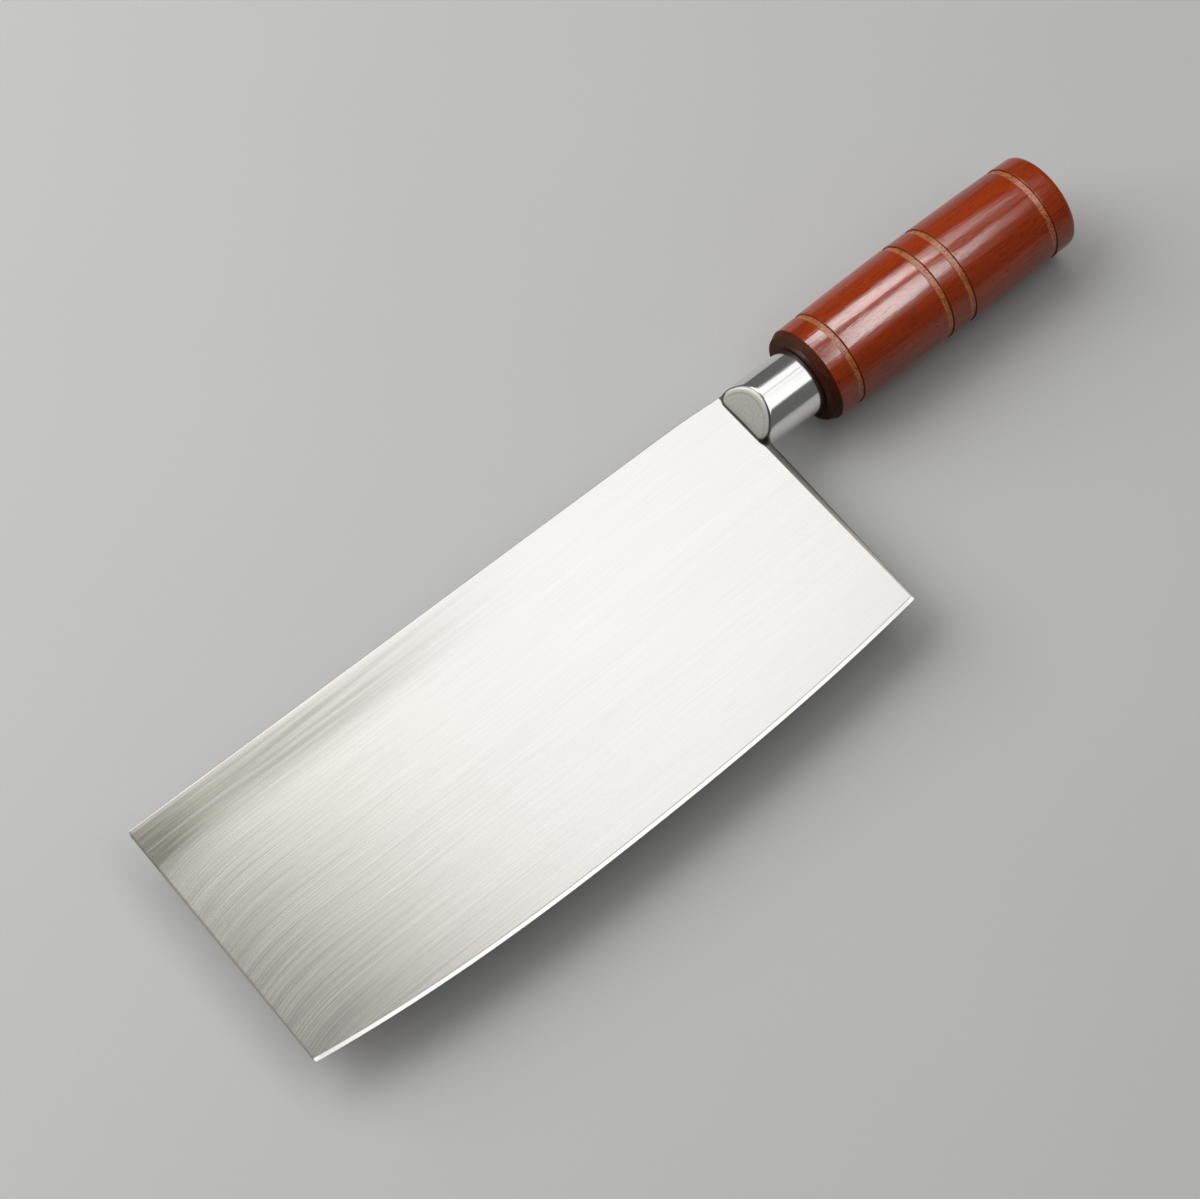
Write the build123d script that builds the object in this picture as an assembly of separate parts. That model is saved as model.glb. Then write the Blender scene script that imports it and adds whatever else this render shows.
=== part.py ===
from build123d import *
import os
from math import radians, tan

# Chinese cleaver, lying on its side, in millimetres.
# The pieces are drawn about the handle's axis, which runs along X: the butt is towards +X, the spine towards +Y.
# X is zero at the joint of collar and wood. The finished pieces then move so that the origin is at the middle of
# the knife's footprint, on the surface that the handle touches.

# Blade, measured from the handle's axis
blade_length = 220.0
heel_gap = 21.1
spine_front_height = 12.6
spine_rear_height = 11.7
spine_dip_length = 25.0
spine_end_inset = 0.2
belly_depth = 81.3
front_corner_rise = 7.1
heel_corner_rise = 5.5
spine_thickness = 2.2
edge_thickness = 0.5
edge_bevel_width = 1.0
edge_flat = 0.1
edge_break = 0.2
heel_ease_width = 1.8
heel_flat = 0.6
neck_length = 8.0
neck_height = 14.0
neck_thickness = 1.6

# Slopes of the blade's outline, in degrees
front_lean = 1.2
heel_lean = 2.0
belly_front_slope = 9.1
belly_heel_slope = 6.5

# Two faces lean alike when their normals are within this many degrees
same_direction = 1.0

# Place of the deepest point of the belly, from the heel corner, and the reach of the curve's arms
belly_place_share = 0.535
belly_arm_share = 1 / 3

# Collar
collar_length = 24.2
collar_radius = 10.8
cheek_run = 6.6
cheek_lip_height = 1.7
cheek_corner_radius = 3.0
cheek_edge_radius = 0.5
collar_rear_break = 0.3

# Handle
handle_length = 98.0
handle_belly_radius = 16.75
handle_front_radius = 15.8
handle_butt_radius = 16.1
front_chamfer_length = 2.5
front_chamfer_depth = 1.2
butt_edge_radius = 2.0
groove_width = 2.3
groove_depth = 0.45
front_groove_inset = 10.0
butt_groove_inset = 9.2
groove_pair_spacing = 9.2
groove_pair_share = 0.513

# Tang, adhesive and washer
tang_radius = 4.0
tang_seat_depth = 8.0
bonding_gap = 1.0
washer_radius = 7.0
washer_thickness = 1.6
washer_side_gap = 0.4
peened_head_radius = 5.6
peened_head_height = 1.2
peened_rim_height = 0.5
butt_sink = 0.3

# How far a cutting tool runs past what it cuts
overrun = 2.0


def at_axis(radius, start, end):
    """Round bar of a radius along the handle's axis, from one X to another."""
    bar = Cylinder(radius, end - start, align=(Align.CENTER, Align.CENTER, Align.MIN))
    return Pos(start, 0, 0) * Rot(0, 90, 0) * bar


def heel_x(height):
    """X of the heel line at a height above or below the axis."""
    return -heel_gap + height * tan(radians(heel_lean))


def half_thickness(height):
    """Half of the tapered blade's thickness at a height above or below the axis."""
    taper = (spine_thickness - edge_thickness) / (spine_front_height + belly_depth)
    return (spine_thickness - taper * (spine_front_height - height)) / 2


# Corners of the blade's outline. Both ends of the cutting edge lie above the belly's deepest point
front_corner_depth = belly_depth - front_corner_rise
heel_corner_depth = belly_depth - heel_corner_rise
front_top = Vector(-heel_gap - blade_length, spine_front_height)
front_reach = (spine_front_height + front_corner_depth) * tan(radians(front_lean))
front_corner = Vector(front_top.X - front_reach, -front_corner_depth)
heel_corner = Vector(heel_x(-heel_corner_depth), -heel_corner_depth)
belly_place = heel_corner.X + (front_corner.X - heel_corner.X) * belly_place_share
belly_bottom = Vector(belly_place, -belly_depth)
spine_end_height = collar_radius - spine_end_inset
spine_end = Vector(heel_x(spine_end_height), spine_end_height)
dip_start = Vector(spine_end.X - spine_dip_length, spine_rear_height)
neck_top = neck_height / 2
neck_end = -heel_gap + neck_length


def belly_curve(corner, bottom, slope):
    """Half of the cutting edge: it leaves a corner at a slope and is level at the belly's deepest point."""
    arm = (bottom.X - corner.X) * belly_arm_share
    corner_arm = corner + Vector(arm, -abs(arm) * tan(radians(slope)))
    bottom_arm = bottom - Vector(arm, 0)
    return Bezier(corner, corner_arm, bottom_arm, bottom)


def blade_outline():
    """Face of the blade seen from its side, with the neck that enters the collar."""
    spine_direction = dip_start - front_top
    edges = [
        Line(front_top, dip_start),
        TangentArc(dip_start, spine_end, tangent=spine_direction),
        Polyline(
            spine_end,
            (heel_x(neck_top), neck_top),
            (neck_end, neck_top),
            (neck_end, -neck_top),
            (heel_x(-neck_top), -neck_top),
            heel_corner,
        ),
        belly_curve(heel_corner, belly_bottom, belly_heel_slope),
        belly_curve(front_corner, belly_bottom, belly_front_slope),
        Line(front_corner, front_top),
    ]
    return make_face(edges)


def heel_ease(side):
    """Tool that eases one edge of the heel: widest beside the collar, nothing at the cutting edge."""
    top = -collar_radius
    surface = half_thickness(top)
    fall = (surface - heel_flat / 2) / heel_ease_width
    outer = heel_x(top)
    section = Polyline(
        (outer - heel_ease_width - overrun, surface + fall * overrun),
        (outer + overrun, heel_flat / 2 - fall * overrun),
        (outer + overrun, surface + fall * overrun),
        close=True,
    )
    wide_end = Plane((0, top, 0), x_dir=(1, 0, 0), z_dir=(0, -side, 0))
    base = wide_end * make_face(section)
    apex = Vertex(heel_corner.X, heel_corner.Y, side * half_thickness(heel_corner.Y))
    return loft([base, apex])


def tapered_plate():
    """The blade as ground: a wedge from spine to edge, cut to the outline and bevelled, before it is fitted."""
    top = spine_front_height + overrun
    bottom = -belly_depth - overrun
    section = Polyline(
        (top, half_thickness(top)),
        (top, -half_thickness(top)),
        (bottom, -half_thickness(bottom)),
        (bottom, half_thickness(bottom)),
        close=True,
    )
    start = front_corner.X - overrun
    across = Plane((start, 0, 0), x_dir=(0, 1, 0), z_dir=(1, 0, 0))
    wedge = extrude(across * make_face(section), neck_end + overrun - start)
    plate = wedge & extrude(blade_outline(), spine_thickness, both=True)

    plate = chamfer([e for e in plate.edges() if is_outer_edge(e)], edge_break)
    for side in (1, -1):
        face = plate.faces().filter_by(lambda f: f.center().Z * side > 0).sort_by(SortBy.AREA)[-1]
        belly = [e for e in face.edges() if e.center().Y < -front_corner_depth]
        plate = chamfer(belly, edge_bevel_width, (edge_thickness - edge_flat) / 2, reference=face)
    return plate


def slotted_collar():
    """Turned steel bar with two slanted cheeks, a slot for the blade's neck and a seat for the tang rod."""
    bar = at_axis(collar_radius, -collar_length, 0)
    front_rim = bar.edges().filter_by(GeomType.CIRCLE).sort_by(Axis.X)[0]
    bar = fillet(front_rim, cheek_corner_radius)
    front = -collar_length
    for side in (1, -1):
        cut = Polyline(
            (front - overrun, cheek_lip_height),
            (front, cheek_lip_height),
            (front + cheek_run, collar_radius),
            (front + cheek_run, collar_radius + overrun),
            (front - overrun, collar_radius + overrun),
            close=True,
        )
        side_view = Plane((0, 0, 0), x_dir=(1, 0, 0), z_dir=(0, -1, 0))
        tool = extrude(side_view * make_face(cut), collar_radius + overrun, both=True)
        bar = bar - (tool if side > 0 else mirror(tool, Plane.XY))
    slot = extrude(blade_outline(), neck_thickness / 2, both=True)
    return bar - slot - at_axis(tang_radius, -tang_seat_depth, overrun)


def make_collar():
    """The slotted collar with its cheeks' edges rounded off and its rear edge broken."""
    collar = slotted_collar()
    rims = [e for f in collar.faces() if is_cheek(f) for e in f.edges() if e.geom_type != GeomType.LINE]
    collar = fillet(rims, cheek_edge_radius)
    rear = collar.edges().filter_by(GeomType.CIRCLE).filter_by(lambda e: abs(e.center().X) < edge_break)
    return chamfer(rear.sort_by(SortBy.RADIUS)[-1], collar_rear_break)


def is_cheek(face):
    """Whether a flat face of the collar is one of its two slanted cheeks."""
    slant = Vector(cheek_lip_height - collar_radius, 0, cheek_run)
    normal = face.normal_at()
    upward = Vector(normal.X, normal.Y, abs(normal.Z))
    return face.geom_type == GeomType.PLANE and upward.get_angle(slant) < same_direction


def make_blade(collar):
    """The tapered plate, eased along the heel and spine and fitted to the collar's slot."""
    blade = tapered_plate()
    for side in (1, -1):
        blade = blade - heel_ease(side)
    return blade - collar


def is_outer_edge(edge):
    """Whether an edge runs along the blade's spine or front, on one of its sides."""
    centre = edge.center()
    spine_middle = (front_top + dip_start) / 2
    along_spine = abs(centre.Y - spine_middle.Y) < edge_break and abs(centre.X - spine_middle.X) < edge_break
    along_front = centre.X < front_top.X
    return abs(centre.Z) > edge_break and (along_spine or along_front)


def make_handle():
    """Turned handle: chamfered front, barrelled body, rounded butt, four grooves, a bore and the washer's seat."""
    butt = handle_length
    front_edge = (front_chamfer_length, handle_front_radius)
    belly = (butt * groove_pair_share, handle_belly_radius)
    butt_edge = (butt, handle_butt_radius)
    front_body = TangentArc(belly, front_edge, tangent=(-1, 0))
    rear_body = TangentArc(belly, butt_edge, tangent=(1, 0))
    front_face_radius = handle_front_radius - front_chamfer_depth
    ends = Polyline(front_edge, (0, front_face_radius), (0, 0), (butt, 0), butt_edge)
    handle = revolve(make_face([front_body, rear_body, ends]), Axis.X)
    rim = handle.edges().filter_by(GeomType.CIRCLE).sort_by(Axis.X)[-1]
    handle = fillet(rim, butt_edge_radius)
    for place in groove_places():
        body = front_body if place < belly[0] else rear_body
        handle = handle - groove_ring(body, place)
    handle = handle - at_axis(tang_radius + bonding_gap, -overrun, butt)
    seat_depth = butt_sink + peened_head_height + washer_thickness
    return handle - at_axis(washer_radius + washer_side_gap, butt - seat_depth, butt + overrun)


def groove_places():
    """X of the middle of each turned groove."""
    pair = handle_length * groove_pair_share
    return (
        front_groove_inset,
        pair - groove_pair_spacing / 2,
        pair + groove_pair_spacing / 2,
        handle_length - butt_groove_inset,
    )


def groove_ring(body, place):
    """Ring that cuts one groove to its depth below the handle's barrelled surface."""
    surface = body.intersect(Line((place, 0), (place, handle_belly_radius + overrun)))
    floor = surface.center().Y - groove_depth
    start = place - groove_width / 2
    outer = at_axis(handle_belly_radius + overrun, start, start + groove_width)
    return outer - at_axis(floor, start - overrun, start + groove_width + overrun)


def make_tang_rod():
    """Round rod from the collar's seat to the butt, with its end peened to a low dome over the washer."""
    head_start = handle_length - butt_sink - peened_head_height
    rim = (head_start + peened_rim_height, peened_head_radius)
    top = (head_start + peened_head_height, 0)
    sides = Polyline(top, (head_start, 0), (head_start, peened_head_radius), rim)
    dome = TangentArc(top, rim, tangent=(0, 1))
    peened = revolve(make_face([sides, dome]), Axis.X)
    return at_axis(tang_radius, -tang_seat_depth, head_start) + peened


def make_bonding_sleeve():
    """Adhesive that fills the bore around the tang rod, from the collar to the washer."""
    end = handle_length - butt_sink - peened_head_height - washer_thickness
    sleeve = at_axis(tang_radius + bonding_gap, 0, end)
    return sleeve - at_axis(tang_radius, -overrun, end + overrun)


def make_butt_washer():
    """Washer in the butt's sunk seat, under the peened end of the tang."""
    start = handle_length - butt_sink - peened_head_height - washer_thickness
    washer = at_axis(washer_radius, start, start + washer_thickness)
    return washer - at_axis(tang_radius, start - overrun, start + washer_thickness + overrun)


collar = make_collar()
pieces = {
    "blade": make_blade(collar),
    "collar": collar,
    "handle": make_handle(),
    "tang_rod": make_tang_rod(),
    "bonding_sleeve": make_bonding_sleeve(),
    "butt_washer": make_butt_washer(),
}

# From the axis of the handle to the middle of the footprint, on the surface under the handle
middle_x = (front_corner.X + handle_length) / 2
middle_y = (handle_belly_radius - belly_depth) / 2
to_origin = Pos(-middle_x, -middle_y, handle_belly_radius)

os.makedirs("parts", exist_ok=True)
for name, piece in pieces.items():
    export_step(to_origin * piece, f"parts/{name}.step")
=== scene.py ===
"""Looks of a Chinese cleaver: satin blade, polished collar and a turned, lacquered handle.

Every piece is built in millimetres about the knife's own axes, with X along the handle's axis from the
joint of collar and wood, Y towards the spine and Z up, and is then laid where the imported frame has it.
"""

import logging
import math
from dataclasses import dataclass, replace
from enum import Enum, IntEnum

import bpy
import numpy as np
from mathutils import Matrix, Vector


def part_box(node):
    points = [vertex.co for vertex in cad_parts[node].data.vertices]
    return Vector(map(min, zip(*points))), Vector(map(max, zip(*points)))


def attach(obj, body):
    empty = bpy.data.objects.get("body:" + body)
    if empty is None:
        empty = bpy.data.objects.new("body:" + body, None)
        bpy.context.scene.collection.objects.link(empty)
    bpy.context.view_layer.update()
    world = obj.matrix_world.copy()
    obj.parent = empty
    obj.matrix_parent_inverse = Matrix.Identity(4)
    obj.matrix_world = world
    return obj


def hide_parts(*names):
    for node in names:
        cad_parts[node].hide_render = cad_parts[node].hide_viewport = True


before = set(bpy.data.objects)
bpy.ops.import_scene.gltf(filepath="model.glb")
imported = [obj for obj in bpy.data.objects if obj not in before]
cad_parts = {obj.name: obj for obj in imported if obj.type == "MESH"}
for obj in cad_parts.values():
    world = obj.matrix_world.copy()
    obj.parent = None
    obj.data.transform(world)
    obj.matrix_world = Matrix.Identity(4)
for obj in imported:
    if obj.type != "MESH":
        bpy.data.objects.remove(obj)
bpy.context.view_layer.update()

log = logging.getLogger("cleaver")

MM = 0.001
BODY = "root"
# Size of a noise along an axis that it doesn't vary along, and a distance out of reach.
ENDLESS = 1e6
# Least number to divide by.
TINY = 1e-9

Point = tuple[float, float]
Place = tuple[float, float, float]
Rgb = tuple[float, float, float]


@dataclass(frozen=True)
class Axes:
    """Where the knife's own axes lie in the part's frame, in millimetres."""

    x: float
    y: float
    z: float

    @classmethod
    def from_frame(cls) -> "Axes":
        """Read the axes off the handle: its front face gives X and its middle gives Y and Z."""
        low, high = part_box("handle")
        return cls(low.x / MM, (low.y + high.y) / 2 / MM, (low.z + high.z) / 2 / MM)

    def place(self, points: np.ndarray) -> np.ndarray:
        """Turn points about the knife's axes, in millimetres, into metres in the part's frame."""
        return (np.asarray(points) + (self.x, self.y, self.z)) * MM


class Value:
    """An output of a node that Python's operators work on: each operation adds a Math node."""

    def __init__(self, graph: "Graph", socket: bpy.types.NodeSocket) -> None:
        """Keep the graph and the socket."""
        self.graph = graph
        self.socket = socket

    def out(self, name: str) -> "Value":
        """Another output of the same node."""
        return Value(self.graph, self.socket.node.outputs[name])

    def swing(self, amount: "Value | float") -> "Value":
        """How far a noise is from its middle, times an amount."""
        return (self - 0.5) * amount

    def __add__(self, other: "Value | float") -> "Value":
        """Sum."""
        return self.graph.math("ADD", self, other)

    def __radd__(self, other: float) -> "Value":
        """Sum, reflected."""
        return self.graph.math("ADD", other, self)

    def __sub__(self, other: "Value | float") -> "Value":
        """Difference."""
        return self.graph.math("SUBTRACT", self, other)

    def __rsub__(self, other: float) -> "Value":
        """Difference, reflected."""
        return self.graph.math("SUBTRACT", other, self)

    def __mul__(self, other: "Value | float") -> "Value":
        """Product."""
        return self.graph.math("MULTIPLY", self, other)

    def __rmul__(self, other: float) -> "Value":
        """Product, reflected."""
        return self.graph.math("MULTIPLY", other, self)

    def __truediv__(self, other: "Value | float") -> "Value":
        """Quotient."""
        return self.graph.math("DIVIDE", self, other)


class Graph:
    """A node tree, of a material, a world or a geometry group, that is written as expressions."""

    def __init__(self, tree: bpy.types.NodeTree) -> None:
        """Keep the tree and clear it."""
        self.tree = tree
        tree.nodes.clear()

    def add(self, kind: str, inputs: dict | None = None, output: str | int = 0, **settings: object) -> Value:
        """Add one node.

        Args:
            kind: Blender's name for the type of node.
            inputs: Values or links of its sockets, by name or place.
            output: Which of its outputs to hand back.
            settings: The node's own properties, which are set first.

        Returns:
            The output that was asked for, or the first input of a node that has no outputs.
        """
        node = self.tree.nodes.new(kind)
        for name, setting in settings.items():
            setattr(node, name, setting)
        for key, value in (inputs or {}).items():
            if isinstance(value, Value):
                self.tree.links.new(value.socket, node.inputs[key])
            else:
                node.inputs[key].default_value = value
        return Value(self, node.outputs[output] if len(node.outputs) else node.inputs[0])

    def math(self, operation: str, *operands: Value | float, clamp: bool = False) -> Value:
        """Add a Math node on some operands."""
        inputs = dict(enumerate(operands))
        return self.add("ShaderNodeMath", inputs, operation=operation, use_clamp=clamp)

    def point(self, x: Value | float, y: Value | float, z: Value | float) -> Value:
        """Put three numbers together to a vector."""
        return self.add("ShaderNodeCombineXYZ", {0: x, 1: y, 2: z})


@dataclass(frozen=True)
class Grain:
    """A noise: the size of its features along three axes in millimetres, and how much it counts."""

    size: Place
    weight: float = 1.0
    detail: float = 1.0
    roughness: float = 0.5


class Skin(Graph):
    """A material's tree, with the place on the piece in millimetres about the knife's own axes."""

    def __init__(self, tree: bpy.types.NodeTree, axes: Axes) -> None:
        """Add the nodes that read the place.

        Args:
            tree: The material's tree.
            axes: The knife's own axes.
        """
        super().__init__(tree)
        source = self.add("ShaderNodeTexCoord", output="Object")
        inputs = {0: source, 1: (1 / MM,) * 3, 2: (-axes.x, -axes.y, -axes.z)}
        self.place = self.add("ShaderNodeVectorMath", inputs, operation="MULTIPLY_ADD")
        self.x = self.add("ShaderNodeSeparateXYZ", {0: self.place})
        self.y = self.x.out("Y")
        self.z = self.x.out("Z")

    def radius(self) -> Value:
        """Distance from the handle's axis."""
        return self.math("SQRT", self.y * self.y + self.z * self.z)

    def noise(self, grain: Grain, place: Value | None = None) -> Value:
        """Read a noise.

        Args:
            grain: The noise.
            place: Where to read it, if not at the place on the piece.

        Returns:
            Its value, from 0 to 1.
        """
        sized = self.add("ShaderNodeVectorMath", {0: place or self.place, 1: grain.size}, operation="DIVIDE")
        inputs = {"Vector": sized, "Scale": 1.0, "Detail": grain.detail, "Roughness": grain.roughness}
        return self.add("ShaderNodeTexNoise", inputs, "Fac")

    def step(self, value: Value, start: float, full: float) -> Value:
        """Smooth step from 0 at start to 1 at full, which may be the smaller of the two."""
        inputs = {"Value": value, "From Min": start, "From Max": full}
        return self.add("ShaderNodeMapRange", inputs, interpolation_type="SMOOTHSTEP")

    def tint(self, factor: Value | float, *colours: Value | Rgb) -> Value:
        """Mix two colours, by the share of the second."""
        first, second = (colour if isinstance(colour, Value) else (*colour, 1.0) for colour in colours)
        return self.add("ShaderNodeMix", {0: factor, 6: first, 7: second}, 2, data_type="RGBA")

    def shade(self, colour: Value | Rgb, share: Value) -> Value:
        """Scale a colour by a number that varies over the surface."""
        base = colour if isinstance(colour, Value) else self.tint(0.0, colour, colour)
        return self.add("ShaderNodeVectorMath", {0: base, "Scale": share}, operation="SCALE")

    def bump(self, height: Value, depth: float) -> Value:
        """Turn a height from 0 to 1 into a normal, with the depth in millimetres."""
        return self.add("ShaderNodeBump", {"Height": height, "Distance": depth * MM, "Strength": 1.0})


@dataclass(frozen=True)
class Finish:
    """What all finishes share: a colour, a roughness and how far it swings, and the bump's depth."""

    name: str
    colour: Rgb
    roughness: float
    sheen: float = 0.2
    depth: float = 0.02

    def material(self, axes: Axes) -> bpy.types.Material:
        """Make the finish's material.

        Args:
            axes: The knife's own axes, which the pattern follows.

        Returns:
            The material.
        """
        made = bpy.data.materials.new(self.name)
        made.use_nodes = True
        skin = Skin(made.node_tree, axes)
        shader = skin.add("ShaderNodeBsdfPrincipled", self.surface(skin))
        skin.add("ShaderNodeOutputMaterial", {"Surface": shader})
        return made

    def surface(self, skin: Skin) -> dict:
        """Values of the shader's sockets; each finish has its own."""
        raise NotImplementedError


@dataclass(frozen=True)
class GroundSteel(Finish):
    """Satin steel whose grinding lines run along the blade and bend down near its front end.

    Each pair of places or heights says where a change starts and where it is full.
    """

    sheen: float = 0.08
    depth: float = 0.0004
    hair: Grain = Grain((40.0, 0.22, 1.0), 1.6)
    hair_more: float = 0.9
    line: Grain = Grain((16.0, 0.4, 1.0), 0.8)
    streak: Grain = Grain((64.0, 1.7, 1.0), 0.65, 3.0, 0.6)
    broad: Grain = Grain((90.0, 15.0, 1.0), 0.3)
    contrast: float = 0.3
    rear_share: float = 0.16
    front: Point = (-120.0, -245.0)
    front_tint: Rgb = (1.09, 1.06, 0.998)
    tip: Point = (-175.0, -240.0)
    bend_start: float = -200.0
    bend_length: float = 46.0
    bend_height: Point = (10.0, -14.0)
    bend_drop: float = 5.8
    cloud_colour: Rgb = (0.34, 0.325, 0.275)
    cloud_sheen: float = 0.06
    cloud_drift: float = 5.0
    cloud_bottom: Point = (-7.0, 4.0)
    cloud_top: Point = (13.3, 9.8)
    cloud_end: Point = (-100.0, -195.0)
    cloud_share: float = 0.54
    corner_bottom: Point = (-15.0, 5.0)
    corner_end: Point = (-214.0, -244.0)
    corner_share: float = 0.62
    ragged: Point = (0.3, 0.65)
    ragged_share: float = 0.6
    ragged_least: float = 0.55

    def surface(self, skin: Skin) -> dict:
        """Grinding lines, streaks and a cloudy band under the spine.

        Args:
            skin: The material's tree.

        Returns:
            Values of the shader's sockets.
        """
        place = skin.point(skin.x, self._across(skin), skin.z)
        grains = (self.hair, self.line, self.streak, self.broad)
        hair, line, streak, broad = (skin.noise(grain, place) for grain in grains)
        cloud = self._cloud(skin, broad, streak)
        front, tip = (skin.step(skin.x, *span) for span in (self.front, self.tip))
        fine = hair.swing(tip * self.hair_more + self.hair.weight) + line.swing(self.line.weight)
        pattern = fine + streak.swing(self.streak.weight) + broad.swing(self.broad.weight)
        share = 1.0 + pattern * (self.rear_share + (1 - self.rear_share) * front) * self.contrast
        warm = tuple(part * more for part, more in zip(self.colour, self.front_tint))
        clean = skin.shade(skin.tint(front, self.colour, warm), share)
        return {
            "Base Color": skin.tint(cloud, clean, skin.shade(self.cloud_colour, share)),
            "Metallic": 1.0,
            "Roughness": self.roughness + streak.swing(self.sheen) + cloud * self.cloud_sheen,
            "Normal": skin.bump(line + streak, self.depth),
        }

    def _across(self, skin: Skin) -> Value:
        """Place across the lines, which bend towards the lower front corner.

        Args:
            skin: The material's tree.

        Returns:
            The place in millimetres.
        """
        turn = skin.math("MULTIPLY", self.bend_start - skin.x, 1 / self.bend_length, clamp=True)
        curve = turn * turn
        return skin.y + curve * curve * skin.step(skin.y, *self.bend_height) * self.bend_drop

    def _cloud(self, skin: Skin, drift: Value, streak: Value) -> Value:
        """Darker streaky wedge a few millimetres under the spine, deepest at the front corner.

        Args:
            skin: The material's tree.
            drift: A broad noise that moves its borders.
            streak: A noise that leaves gaps in it.

        Returns:
            Its share of the colour.
        """
        height = skin.y + drift.swing(self.cloud_drift)
        wedge = skin.step(height, *self.cloud_bottom) * skin.step(skin.x, *self.cloud_end)
        corner = skin.step(height, *self.corner_bottom) * skin.step(skin.x, *self.corner_end)
        ragged = skin.step(streak, *self.ragged) * self.ragged_share + self.ragged_least
        dark = wedge * self.cloud_share + corner * self.corner_share
        return skin.step(height, *self.cloud_top) * dark * ragged


@dataclass(frozen=True)
class PolishedSteel(Finish):
    """Bright polish with fine lengthwise buffing lines.

    Two attributes of the mesh say where the satin cheeks are and where dark shade is painted: a painted
    shadow on the lip between cheek and blade and a painted dark reflection in a line round the cheek's arc.
    """

    sheen: float = 0.1
    depth: float = 0.012
    buffing: Grain = Grain((14.0, 0.45, 0.45), 0.16, 3.0, 0.6)
    cheek_colour: Rgb = (0.7, 0.685, 0.62)
    cheek_roughness: float = 0.42
    mottle: Grain = Grain((0.7, 0.7, 0.7), 0.4, 3.0, 0.65)
    arc: Grain = Grain((0.4, 0.5, 1.0), 0.24, 2.0)
    arc_height: float = 0.25
    drift: Grain = Grain((4.0, 4.0, 4.0), 0.6)
    wheel_radius: float = 9.0
    wheel_width: float = 0.32
    wheel_shade: float = 0.26
    wheel_height: float = 0.8
    # Colour of the painted shade on the lip and round the cheek's arc.
    lip_shade_colour: Rgb = (0.09, 0.085, 0.08)
    lip_roughness: float = 0.15

    def surface(self, skin: Skin) -> dict:
        """Buffing lines along the bar, arcs of grinding lines and one wheel mark on the cheeks.

        Args:
            skin: The material's tree.

        Returns:
            Values of the shader's sockets.
        """
        names = ("cheek", "lip")
        cheek, lip = (skin.add("ShaderNodeAttribute", None, "Fac", attribute_name=name) for name in names)
        buffed, mottle, drift = (skin.noise(grain) for grain in (self.buffing, self.mottle, self.drift))
        radius = skin.radius()
        arc = skin.noise(self.arc, skin.point(radius, drift, 0.0))
        gap = skin.math("ABSOLUTE", radius - self.wheel_radius + drift.swing(self.drift.weight))
        wheel = cheek * skin.step(gap, self.wheel_width, 0.0)
        marks = arc.swing(self.arc.weight) + mottle.swing(self.mottle.weight)
        share = 1.0 + buffed.swing(self.buffing.weight) + cheek * marks - wheel * self.wheel_shade
        clean = skin.shade(skin.tint(cheek, self.colour, self.cheek_colour), share)
        satin = cheek * (self.cheek_roughness - self.roughness)
        ridges = buffed * (1.0 - cheek) + cheek * arc * self.arc_height - wheel * self.wheel_height
        return {
            # The lip attribute paints shade over the polish.
            "Base Color": skin.tint(lip, clean, self.lip_shade_colour),
            "Metallic": 1.0,
            "Roughness": self.roughness + satin + buffed.swing(self.sheen) + lip * self.lip_roughness,
            "Normal": skin.bump(ridges, self.depth),
        }


@dataclass(frozen=True)
class LacqueredWood(Finish):
    """Stained wood under a clear gloss: lengthwise grain, broad figure and small open pores."""

    sheen: float = 0.08
    depth: float = 0.035
    dark: Rgb = (0.07, 0.006, 0.0006)
    darkness: float = 0.22
    gloss: float = 1.48
    figure: Grain = Grain((55.0, 4.5, 4.5), 0.8, 2.0)
    grain: Grain = Grain((12.0, 0.5, 0.5), 1.3, 3.0, 0.62)
    grain_height: float = 0.4
    fibre: Grain = Grain((7.0, 0.5, 0.5), detail=2.0, roughness=0.6)
    pore: Grain = Grain((2.2, 0.26, 0.26), 0.6)
    pore_edge: Point = (0.6, 0.7)
    pore_roughness: float = 0.12
    pore_height: float = 0.1
    # Painted shade: the colour darkens towards the butt, where less light falls.
    butt_shade: Point = (20.0, 110.0)
    butt_shade_share: float = 0.18

    def surface(self, skin: Skin) -> dict:
        """Grain, fibres and pores along the handle, with painted shade that darkens it towards the butt.

        Args:
            skin: The material's tree.

        Returns:
            Values of the shader's sockets.
        """
        grains = (self.figure, self.grain, self.fibre, self.pore)
        figure, grain, fibre, pore = (skin.noise(each) for each in grains)
        pores = skin.step(pore, *self.pore_edge)
        dark = figure.swing(self.figure.weight) + grain.swing(self.grain.weight) + pores * self.pore.weight
        # Painted shade towards the butt.
        shaded = dark + skin.step(skin.x, *self.butt_shade) * self.butt_shade_share
        amount = skin.math("ADD", shaded, self.darkness, clamp=True)
        return {
            "Base Color": skin.tint(amount, self.colour, self.dark),
            "Roughness": self.roughness + pores * self.pore_roughness + fibre.swing(self.sheen),
            "IOR": self.gloss,
            "Normal": skin.bump(fibre + grain * self.grain_height - pores * self.pore_height, self.depth),
        }


@dataclass(frozen=True)
class BareWood(Finish):
    """Bare turned wood: fine dark and light grains, with little gloss."""

    dark: Rgb = (0.3, 0.07, 0.012)
    gloss: float = 0.5
    grain: Grain = Grain((0.56, 0.28, 0.28), detail=3.0, roughness=0.65)
    grain_edge: Point = (0.41, 0.6)

    def surface(self, skin: Skin) -> dict:
        """Grains that are a little longer along the handle.

        Args:
            skin: The material's tree.

        Returns:
            Values of the shader's sockets.
        """
        grain = skin.noise(self.grain)
        return {
            "Base Color": skin.tint(skin.step(grain, *self.grain_edge), self.dark, self.colour),
            "Roughness": self.roughness + grain.swing(self.sheen),
            "Specular IOR Level": self.gloss,
            "Normal": skin.bump(grain, self.depth),
        }


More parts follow.
